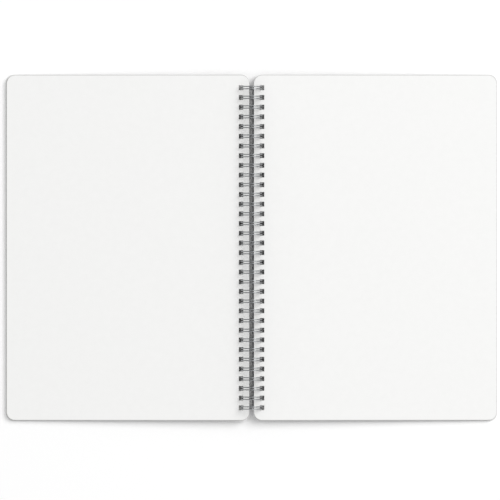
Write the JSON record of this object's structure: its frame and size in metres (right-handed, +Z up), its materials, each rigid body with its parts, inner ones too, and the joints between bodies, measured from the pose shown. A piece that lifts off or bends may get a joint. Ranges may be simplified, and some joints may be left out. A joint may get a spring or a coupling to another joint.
{
  "type": "spiral notebook",
  "caption": "Wire-bound notebook lying open at its middle: blank sheets with rounded corners between card covers, held by a twin-loop wire through square holes.",
  "frame": {"origin": "on the table, midway between the two open halves and midway along the binding", "axes": "+X across the open spread to the right-hand page, +Y up the page along the binding, +Z up from the table"},
  "size_m": [0.424, 0.299, 0.019],
  "materials": {
    "cover_card": "satin",
    "page_paper": "matte",
    "binding_steel": "satin"
  },
  "bodies": {
    "right_pages": {"right_pages": "page_paper"},
    "back_cover": {"back_cover": "cover_card"},
    "left_pages": {"left_pages": "page_paper"},
    "front_cover": {"front_cover": "cover_card"},
    "binding_wire": {"binding_wire": "binding_steel"}
  },
  "joints": [
    {"name": "left_pages_turn", "type": "hinge", "parent": "right_pages", "child": "left_pages", "pos_m": [0, 0, 0.0095], "axis": [0, 1, 0], "range_deg": [0, 182.8]},
    {"name": "front_cover_swing", "type": "hinge", "parent": "left_pages", "child": "front_cover", "pos_m": [0, 0, 0.0095], "axis": [0, -1, 0], "range_deg": [0, 20]},
    {"name": "back_cover_swing", "type": "hinge", "parent": "right_pages", "child": "back_cover", "pos_m": [0, 0, 0.0095], "axis": [0, 1, 0], "range_deg": [0, 20]},
    {"name": "binding_wire_turn", "type": "hinge", "parent": "right_pages", "child": "binding_wire", "pos_m": [0, 0, 0.0095], "axis": [0, 1, 0], "range_deg": [-16.7, 33.3]}
  ]
}
